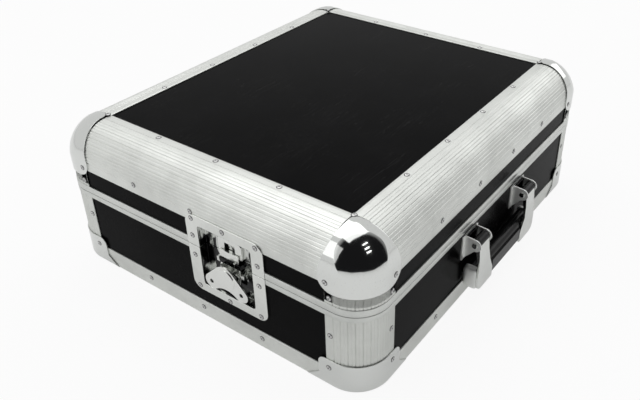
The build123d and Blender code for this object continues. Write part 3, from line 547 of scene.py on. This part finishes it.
# Ball corners. Pressed steel, plated bright: a dome of 50 mm radius stands out of three skirts that
# wrap the rounded profiles, and a sphere trims the skirts' edge. Each side is riveted on.
ball_sheet, skirt_radius, ball_centre = 0.0014, 0.0414, np.array([0.040, 0.040, 0.040])
dome_centre, dome_radius, crease = np.array([0.046, 0.046, 0.046]), 0.050, math.radians(38.05)
trim_centre, trim_radius, trim_drop = np.array([0.040, 0.040, 0.0427]), 0.0448, 0.0615
ball_turns, crease_half, trim_reach, trim_steps = 192, 0.003, 2.6, 40
ball_wall, ball_rim, rim_turn = 0.96 * ball_sheet, 0.00035, math.radians(50)


def ball_points(polar, azimuth):
    """Points of the ball corner, measured in from the sharp corner and down: along each direction
    from the ball centre, the dome inside the crease cone, and elsewhere the rounded box, whose
    distance is its radius over the length of the direction's outward parts."""
    axis = -np.ones(3) / 3**0.5
    side = np.array([1, -1, 0]) / 2**0.5
    third = np.cross(axis, side)
    ways = np.cos(polar)[..., None] * axis + np.sin(polar)[..., None] * (
        np.cos(azimuth)[..., None] * side + np.sin(azimuth)[..., None] * third
    )
    outward = np.linalg.norm(np.minimum(ways, 0), axis=-1)
    skirt = skirt_radius / np.maximum(outward, 1e-6)
    offset = ball_centre - dome_centre
    along = ways @ offset
    dome = -along + np.sqrt(along**2 - offset @ offset + dome_radius**2)
    reach = np.where(polar < crease, dome, skirt)
    return ball_centre + ways * reach[..., None]


# The trimmed edge is found on every azimuth at once, by halving the angles it can lie between.
around = np.linspace(0, 2 * np.pi, ball_turns, endpoint=False)
near, far = np.full(ball_turns, crease + 0.02), np.full(ball_turns, trim_reach)
for _ in range(trim_steps):
    middle = (near + far) / 2
    point = ball_points(middle, around)
    inside = np.linalg.norm(point - trim_centre, axis=-1) < trim_radius
    inside &= point[..., 2] < trim_drop
    near, far = np.where(inside, middle, near), np.where(inside, far, middle)
# Rows run from the pole to the crease, in radians, and on to the edge, in shares of the way.
dome_rows = np.concatenate([[0.02], np.linspace(0.08, crease - 0.012, 12), [crease - crease_half]])
skirt_rows = np.concatenate([[0.0, 0.012], np.linspace(0.05, 1, 18)])
polar_grid = np.concatenate([
    np.repeat(dome_rows[:, None], ball_turns, axis=1),
    crease + crease_half + skirt_rows[:, None] * (near - crease - crease_half),
])
ball_grid = ball_points(polar_grid, np.broadcast_to(around, polar_grid.shape))[:, ::-1]

chrome, chrome_main = shader("bright_chrome", metallic=1.0)
tree = chrome.node_tree
spot, masks = worn(tree)
shown = blend(tree, masks["Dust"], (0.745, 0.76, 0.74), (0.5, 0.49, 0.48))
tree.links.new(shown, chrome_main.inputs["Base Color"])
wipe = band(tree, masks["Smudge"], 0, 1, 0.07, 0.13)
gloss = math_node(tree, "ADD", wipe, times(tree, masks["Scratch"], 0.15))
tree.links.new(gloss, chrome_main.inputs["Roughness"])
press = noise(tree, spot, 42, 2)
pressed_marks = math_node(tree, "SUBTRACT", press, times(tree, masks["Scratch"], 0.05))
bump(tree, chrome_main, pressed_marks, 0.0003)


def pressed(name, points, way_x, way_y, corner_height, closed, body, stands_for):
    """A pressed sheet corner: points measured in from the sharp corner and down from a height are
    mirrored to their corner, and the sheet is thickened inwards. The cut edges of an open one, a
    foot, are matt like the bands."""
    world = np.empty_like(points)
    world[..., 0] = way_x * (points[..., 0] - half_w)
    world[..., 1] = case_shift + way_y * (points[..., 1] - half_d)
    world[..., 2] = corner_height - points[..., 2]
    world = world if way_x * way_y > 0 else world[:, ::-1]
    mesh = grid_mesh(name, world, close_v=closed, poles=(0,) if closed else (), sharp=60)
    piece = place(name, mesh, chrome)
    sheet = piece.modifiers.new("sheet", "SOLIDIFY")
    sheet.thickness, sheet.offset = ball_wall, -1
    if not closed:
        mesh.materials.append(bands)
        sheet.material_offset_rim = 1
    rim = piece.modifiers.new("rim", "BEVEL")
    rim.width, rim.segments = ball_rim, 2
    rim.limit_method, rim.angle_limit = "ANGLE", rim_turn
    finish(piece, body, "chrome_corner", stands_for)


for corner, ways in corner_ways.items():
    pressed(f"ball_{corner}", ball_grid, *ways, case_top, True, "lid", f"ball_corner_{corner}")


# Bottom corners. The same bright pressed steel, bent around the corner and turned under it; the
# case stands on its lower sheet. The side view runs from a pointed tail to a round shoulder.
foot_turned, foot_roll, foot_top, foot_shoulder = 0.018, 0.0045, 0.038, 0.008
foot_tail, foot_side, tail_low, tail_high = 0.0766, 0.0596, 0.001, 0.014
rolled = np.linspace(0, np.pi / 2, 7)
side_heights = [0.006, 0.010, tail_high, 0.019, 0.0264, 0.030]
side_heights += [0.0325, 0.0348, 0.0365, 0.0376, foot_top]
side_insets = np.zeros(len(side_heights))
foot_heights = np.concatenate([[0], foot_roll * (1 - np.cos(rolled)), side_heights])
foot_insets = np.concatenate([[foot_turned], foot_roll * (1 - np.sin(rolled)), side_insets])
foot_reach = np.interp(foot_heights, [0, tail_low, tail_high], [foot_tail, foot_tail, foot_side])
past_shoulder = np.clip((foot_heights - foot_top + foot_shoulder) / foot_shoulder, 0, 1)
foot_reach -= foot_shoulder * (1 - np.sqrt(1 - past_shoulder**2))
# Each row runs along one side at its inset, around the bend and along the other side.
radius = skirt_radius - foot_insets[:, None]
straight, bend = np.linspace(1, 0, 9)[:-1], np.linspace(0, np.pi / 2, 25)
tail = profile_radius + (foot_reach[:, None] - profile_radius) * straight
face = np.broadcast_to(profile_radius - radius, tail.shape)
foot_x = np.concatenate([face, profile_radius - radius * np.cos(bend), tail[:, ::-1]], axis=1)
foot_y = np.concatenate([tail, profile_radius - radius * np.sin(bend), face], axis=1)
foot_z = np.broadcast_to(-foot_heights[:, None], foot_x.shape)
foot_grid = np.stack([foot_x, foot_y, foot_z], axis=-1)[::-1]
for corner, ways in corner_ways.items():
    pressed(f"foot_{corner}", foot_grid, *ways, 0.0, False, "base", f"bottom_corner_{corner}")


# Rivets. Domed aluminium blind rivets with the dimple their mandrel leaves, one on each seat of the
# CAD heads; all the heads of a body are one mesh.
head_radii = np.array([3.4, 3.35, 2.8, 2.35, 1.7, 1.1, 0.9, 0.75, 0.03]) / 1000
head_rises = np.array([0.0, 0.15, 0.25, 0.75, 1.0, 1.08, 0.9, 0.42, 0.40]) / 1000
# How much painted shade each ring carries: near black where the head meets the plate and in the
# dimple.
head_painted_shade = [1.0, 0.9, 0.7, 0, 0, 0, 0.6, 1.0, 1.0]
head_turns, cad_head_half, case_middle = 12, 0.00055, np.array([0, case_shift, 0.1])


def rivet_heads(name, count, body):
    """Domed heads on the seats of a CAD node: each seat gives a middle and a way out, and one
    turned outline of radii and heights is set on every seat. Painted shade darkens its low rings,
    at the plate and in the dimple."""
    flat = np.empty(len(nodes[name].data.vertices) * 3)
    nodes[name].data.vertices.foreach_get("co", flat)
    heads = flat.reshape(count, -1, 3)
    low, high = heads.min(axis=1), heads.max(axis=1)
    middle, spread = (low + high) / 2, high - low
    axis = np.argmin(spread, axis=1)
    picks = np.arange(count)
    outward = np.zeros((count, 3))
    outward[picks, axis] = np.sign(middle[picks, axis] - case_middle[axis])
    seat = middle - outward * cad_head_half
    first = np.roll(outward, 1, axis=1)
    second = np.cross(outward, first)
    angles = np.linspace(0, 2 * np.pi, head_turns, endpoint=False)[:, None]
    ring = first[:, None, :] * np.cos(angles) + second[:, None, :] * np.sin(angles)
    around_seat = head_radii[:, None, None] * ring[:, None]
    off_seat = head_rises[:, None, None] * outward[:, None, None, :]
    points = seat[:, None, None, :] + around_seat + off_seat
    rings = len(head_radii)
    size = rings * head_turns
    grid = np.arange(size).reshape(rings, head_turns)
    grid = np.concatenate([grid, grid[:, :1]], axis=1)
    cell = np.stack([grid[:-1, :-1], grid[:-1, 1:], grid[1:, 1:], grid[1:, :-1]], axis=-1)
    faces = (cell.reshape(1, -1, 4) + (picks * size)[:, None, None]).reshape(-1, 4)
    crowns = np.arange(size - head_turns, size)[None] + (picks * size)[:, None]
    mesh = bpy.data.meshes.new(name + "_domed")
    mesh.from_pydata(points.reshape(-1, 3).tolist(), [], faces.tolist() + crowns.tolist())
    painted_shade = mesh.attributes.new("painted_shade", "FLOAT", "POINT")
    painted_shade.data.foreach_set("value", np.tile(np.repeat(head_painted_shade, head_turns), count))
    mesh.shade_smooth()
    mesh.update()
    finish(place(mesh.name, mesh, rivet_metal), body, "rivet_aluminium", name)


def darken(metal, mask, color):
    """Mix a darker colour into a metal's own colour where a mask is 1."""
    main = metal.node_tree.nodes["Principled BSDF"]
    own = main.inputs["Base Color"].links[0].from_socket
    shown = blend(metal.node_tree, mask, own, color)
    metal.node_tree.links.new(shown, main.inputs["Base Color"])


rivet_metal = satin("rivet_aluminium", (0.62, 0.62, 0.615), 0.28, plain)
# The marked rings are mixed towards near black, as painted shade.
shaded_ring = rivet_metal.node_tree.nodes.new("ShaderNodeAttribute")
shaded_ring.attribute_name = "painted_shade"
darken(rivet_metal, shaded_ring.outputs["Fac"], (0.05, 0.05, 0.05))
rivet_heads("base_rivets", 44, "base")
rivet_heads("lid_rivets", 60, "lid")


# Latch dishes. Pressed steel with bright zinc plating, split at the parting line and riveted over
# the panel and profile; the pan holds the wing, the hook plate and the keeper. Inside the pan a
# dark reflection is painted in patches.
pan_bottom, pan_top, pan_painted_dark = 0.2632, 0.2645, (0.02, 0.02, 0.021)
zinc = satin("bright_zinc", (0.785, 0.80, 0.77), 0.16, plain)
tree = zinc.node_tree
own_place = tree.nodes.new("ShaderNodeTexCoord")
split = tree.nodes.new("ShaderNodeSeparateXYZ")
tree.links.new(own_place.outputs["Object"], split.inputs["Vector"])
# Painted dark reflection: the inside of the pan is mixed towards near black in stretched patches.
depth = band(tree, math_node(tree, "ABSOLUTE", split.outputs["X"]), pan_bottom, pan_top, 1.0, 0.0)
patch_stretch = tree.nodes.new("ShaderNodeMapping")
patch_stretch.inputs["Scale"].default_value = (1.0, 1.7, 0.6)
tree.links.new(own_place.outputs["Object"], patch_stretch.inputs["Vector"])
pan_dark_patches = band(tree, noise(tree, patch_stretch.outputs["Vector"], 62, 1), 0.50, 0.54, 1.0, 0.15)
darken(zinc, times(tree, depth, pan_dark_patches), pan_painted_dark)
for end in ("left", "right"):
    for body in ("base", "lid"):
        eased(f"{end}_{body}_latch_dish", zinc, body, "latch_steel", 0.0005, 3)


# Butterfly wings, hook plates and keepers. Stamped steel, a little duller than the dish; the wing
# turns on its axle and its cam lifts the hook plate into the keeper on the lid.
stamped = satin("stamped_zinc", (0.83, 0.84, 0.815), 0.2, plain)
for end in ("left", "right"):
    eased(f"{end}_wing", stamped, f"{end}_wing", "latch_steel", 0.0004)
    eased(f"{end}_hook", stamped, f"{end}_hook", "latch_steel", 0.0003)
eased("strike_plates", stamped, "lid", "latch_steel", 0.0004)


# Drop handle. Two stamped brackets on the front panel hold the pins of two sheet steel arms, all
# bright zinc. A gloss black moulded grip runs between the arms' feet, in a squared cup at each end.
# Black moulded sleeves on the arms' eyes and stops on the bracket plates stop its rattle.
handle_zinc = satin("handle_zinc", (0.77, 0.785, 0.76), 0.13, (1, 1, 0.2))
bracket_zinc = satin("bracket_zinc", (0.93, 0.94, 0.92), 0.56, plain)
for side in ("left", "right"):
    eased(f"handle_bracket_{side}", bracket_zinc, "base", "handle_steel", 0.0004)
    eased(f"handle_arm_{side}", handle_zinc, "handle", "handle_steel", 0.0005, 3)
eased("handle_pins", handle_zinc, "base", "handle_steel", 0.0003)

moulded_black, moulded_scratch = (0.006, 0.006, 0.0065), (0.05, 0.05, 0.05)
moulded, moulded_main = shader("moulded_black", specular=0.25)
tree = moulded.node_tree
spot, masks = worn(tree)
shown = blend(tree, times(tree, masks["Scratch"], 0.5), moulded_black, moulded_scratch)
tree.links.new(shown, moulded_main.inputs["Base Color"])
smeared = band(tree, masks["Smudge"], 0, 1, 0.16, 0.26)
tree.links.new(smeared, moulded_main.inputs["Roughness"])
bump(tree, moulded_main, noise(tree, spot, 90, 2), 0.0002)
eased("handle_grip", moulded, "handle", "grip_plastic", 0.0008, 3)

arm_middles = {"left": -0.055, "right": 0.071}
pin_y, pin_z = case_shift - 0.2405, 0.084
sleeve_half, sleeve_inner, sleeve_outer, sleeve_soft = 0.0115, 0.0061, 0.0066, 0.0002
sleeve_from, sleeve_to = math.radians(-25), math.radians(172)
stop_front, stop_rear, stop_low, stop_high, stop_soft = -0.2307, -0.2277, 0.0635, 0.0915, 0.001
sleeve_turn = np.linspace(sleeve_from, sleeve_to, 34)
sleeve_long = 2 * sleeve_half
sleeve_round = np.array([
    (sleeve_inner, 0), (sleeve_outer - sleeve_soft, 0), (sleeve_outer, sleeve_soft),
    (sleeve_outer, sleeve_long - sleeve_soft), (sleeve_outer - sleeve_soft, sleeve_long),
    (sleeve_inner, sleeve_long),
])
stop_corners = [
    (stop_rear, stop_low), (stop_rear, stop_high), (stop_front, stop_high), (stop_front, stop_low),
]
stop_outline = rounded_outline(stop_corners, stop_soft)
for side, middle in arm_middles.items():
    # A sleeve is its outline of radii and distances turned about the pin.
    radius, across = sleeve_round[:, :1], sleeve_round[:, 1:]
    sleeve = np.stack([
        middle - sleeve_half + across + 0 * sleeve_turn,
        pin_y + radius * np.cos(sleeve_turn),
        pin_z + radius * np.sin(sleeve_turn),
    ], axis=-1)
    mesh = grid_mesh(f"handle_sleeve_{side}", sleeve[:, ::-1], close_u=True, ends=True)
    finish(place(mesh.name, mesh, moulded), "handle", "grip_plastic")
    start, ways = (middle - sleeve_half, case_shift, 0), ((0, 1, 0), (0, 0, 1), (1, 0, 0))
    mesh = drawn(f"handle_stop_{side}", stop_outline, start, *ways, sleeve_long)
    finish(place(mesh.name, mesh, moulded), "base", "grip_plastic")

cup_y, cup_z, cup_power = case_shift - 0.2375, 0.0355, 5
cup_long, cup_deep, cup_high = 0.0070, 0.0095, 0.0151
cup_rows = np.linspace(math.pi / 2 - 0.02, 0, 14)
cup_columns = np.linspace(0, 2 * math.pi, 64, endpoint=False)
cup_rise, cup_turn = np.meshgrid(cup_rows, cup_columns, indexing="ij")


def squared(wave):
    """A sine or cosine raised to two over the cup's power, with its own sign, which makes a rounded
    box out of a ball."""
    return np.sign(wave) * np.abs(wave) ** (2 / cup_power)


for side, seat, way in (("left", -0.062, -1), ("right", 0.078, 1)):
    cup = np.stack([
        seat + way * cup_long * squared(np.sin(cup_rise)),
        cup_y + cup_deep * squared(np.cos(cup_rise)) * squared(np.cos(cup_turn)),
        cup_z + cup_high * squared(np.cos(cup_rise)) * squared(np.sin(cup_turn)),
    ], axis=-1)
    mesh = grid_mesh(f"handle_cap_{side}", cup[:, ::way], close_v=True, poles=(0, -1), sharp=50)
    finish(place(mesh.name, mesh, bracket_zinc), "handle", "handle_steel")


# Rear hinges. Cranked steel leaves with rolled knuckles on headed pins, zinc plated, riveted to the
# rear panel and the lid's rear strip.
hinge_zinc = satin("hinge_zinc", (0.62, 0.62, 0.61), 0.24, (0.2, 1, 1), 0.04)
hinge_bodies = {"hinge_base_leaves": "base", "hinge_lid_leaves": "lid", "hinge_pins": "base"}
for name, body in hinge_bodies.items():
    eased(name, hinge_zinc, body, "hinge_steel", 0.0003)


# Foam lining. Dark open-cell foam cut to line the base around the turntable's bay and to fill the
# lid around its hollow: soft edges, faces that bow a little and a pored skin whose hollows carry
# painted shade.
foam, foam_main = shader("lining_foam", roughness=0.95, specular=0.12)
foam_main.inputs["Sheen Weight"].default_value = 0.25
tree = foam.node_tree
spot, masks = worn(tree)
pores = tree.nodes.new("ShaderNodeTexVoronoi")
pores.inputs["Scale"].default_value = 750
tree.links.new(spot, pores.inputs["Vector"])
# One mask sinks the pore hollows by a bump and paints them darker, as shade.
pore_hollow_shade = band(tree, pores.outputs["Distance"], 0.1, 0.65)
shown = blend(tree, pore_hollow_shade, (0.05, 0.05, 0.054), (0.018, 0.018, 0.02))
shown = blend(tree, masks["Dust"], shown, (0.14, 0.135, 0.13))
tree.links.new(shown, foam_main.inputs["Base Color"])
bump(tree, foam_main, math_node(tree, "SUBTRACT", 1.0, pore_hollow_shade), 0.0005)
# Each outline is half its width, half its depth and its corner radius.
foam_outer, foam_bay = (0.2536, 0.2161, 0.034), (0.228, 0.178, 0.008)
foam_dot = (0.001, 0.001, 0.0005)
foam_soft, foam_bow, foam_relax, quarter_steps, side_steps = 0.004, 0.0007, 0.00035, 14, 22


def outline_around(half_x, half_y, radius):
    """A rounded rectangle with the same number of points on every side and every corner."""
    bend = np.linspace(0, np.pi / 2, quarter_steps)
    points = []
    for quarter, (way_x, way_y) in enumerate(((1, 1), (-1, 1), (-1, -1), (1, -1))):
        middle = np.array([way_x * (half_x - radius), way_y * (half_y - radius)])
        angle = bend + quarter * np.pi / 2
        points.append(middle + radius * np.stack([np.cos(angle), np.sin(angle)], 1))
    full = []
    for arc, following in zip(points, points[1:] + points[:1]):
        share = np.linspace(0, 1, side_steps + 2)[1:-1, None]
        full += [arc, arc[-1] * (1 - share) + following[0] * share]
    return np.concatenate(full)


def foam_block(name, rows, close, body, stands_for):
    """Foam through rows of rounded rectangles at their heights: the faces are pushed by a sum of
    long sine waves, a fraction of a millimetre deep, as cut foam relaxes."""
    points = []
    for *edge, height in rows:
        path = outline_around(*edge) + (0, case_shift)
        points.append(np.column_stack([path, np.full(len(path), height)]))
    grid = np.stack(points)
    x, y, z = grid[..., 0], grid[..., 1], grid[..., 2]
    wave = np.sin(x * 61 + 1.3) * np.sin(y * 53 + 0.4) + 0.5 * np.sin(x * 143 - y * 117)
    z += foam_relax * wave * (np.abs(x) < foam_outer[0] - 0.001) * (z > 0.03)
    grid = grid[:, ::-1] if body == "base" else grid
    mesh = grid_mesh(name, grid, close, True, poles=() if close else (0, -1), sharp=80)
    piece = place(name, mesh, foam)
    finish(piece, body, "foam", stands_for)


def cut_in(edge, cut, height):
    """A rounded rectangle drawn in by a cut on every side, at a height."""
    return (*(part - cut for part in edge), height)


def shrunk(edge, shares, height):
    """Rows of one rounded rectangle scaled by each share, at one height."""
    return [(*(part * share for part in edge), height) for share in shares]


def eased_edge(height, way):
    """Rows across the top (way 1) or the underside (way -1) of the foam ring: a quarter round, a
    face that bows by less than a millimetre, and a quarter round into the opening."""
    quarter = np.linspace(0, np.pi / 2, 5)
    cuts, falls = foam_soft * (1 - np.cos(quarter)), way * foam_soft * (1 - np.sin(quarter))
    rows = [cut_in(foam_outer, cut, height - fall) for cut, fall in zip(cuts, falls)]
    start, stop = np.array(foam_outer) - foam_soft, np.array(foam_bay) + foam_soft
    for share in np.linspace(0, 1, 8)[1:-1]:
        edge = start + share * (stop - start)
        rows.append((*edge, height - way * foam_bow * (2 * share - 1) ** 2))
    inner = [cut_in(foam_bay, -cut, height - fall) for cut, fall in zip(cuts, falls)]
    return rows + inner[::-1]


floor_low, floor_soft, floor_top = 0.0124, 0.0255, 0.0270
floor_rows = [(*foam_dot, floor_low), (*foam_outer, floor_low), (*foam_outer, floor_soft)]
floor_rows += [cut_in(foam_outer, floor_top - floor_soft, floor_top)]
floor_rows += shrunk(foam_outer, (0.9, 0.7, 0.5, 0.3, 0.1, 0.004), floor_top)
foam_block("base_floor_lining", floor_rows, False, "base", "base_floor_foam")

ring_low, ring_middle, ring_top = 0.0272, 0.07, 0.1000
side_rows = [(*foam_outer, ring_low), *eased_edge(ring_top, 1)]
side_rows += [(*foam_bay, ring_middle), (*foam_bay, ring_low)]
foam_block("base_side_lining", side_rows, True, "base", "base_side_foam")

# The lid's lining runs from the middle of its crown over its rounded edge and down its outside,
# across its underside, up the wall of the hollow and back to the middle.
crown_middle, crown_ring = 0.1785, (0.12, 0.10, 0.004, 0.1786)
crown_round, crown_low = 0.030, 0.1486
lining_wall, lining_face, hollow_wall, hollow_top, hollow_soft = 0.12, 0.1090, 0.14, 0.165, 0.002
lid_rows = [(*foam_dot, crown_middle), crown_ring]
for angle in np.linspace(math.pi / 2, 0, 9):
    crown_cut = crown_round * (1 - math.cos(angle))
    lid_rows.append(cut_in(foam_outer, crown_cut, crown_low + crown_round * math.sin(angle)))
lid_rows += [(*foam_outer, lining_wall), *eased_edge(lining_face, -1)]
lid_rows += [(*foam_bay, hollow_wall), (*foam_bay, hollow_top - hollow_soft)]
lid_rows += [cut_in(foam_bay, hollow_soft, hollow_top)]
lid_rows += shrunk(foam_bay, (0.8, 0.6, 0.4, 0.2, 0.004), hollow_top)
foam_block("lid_lining", lid_rows, False, "lid", "lid_foam")
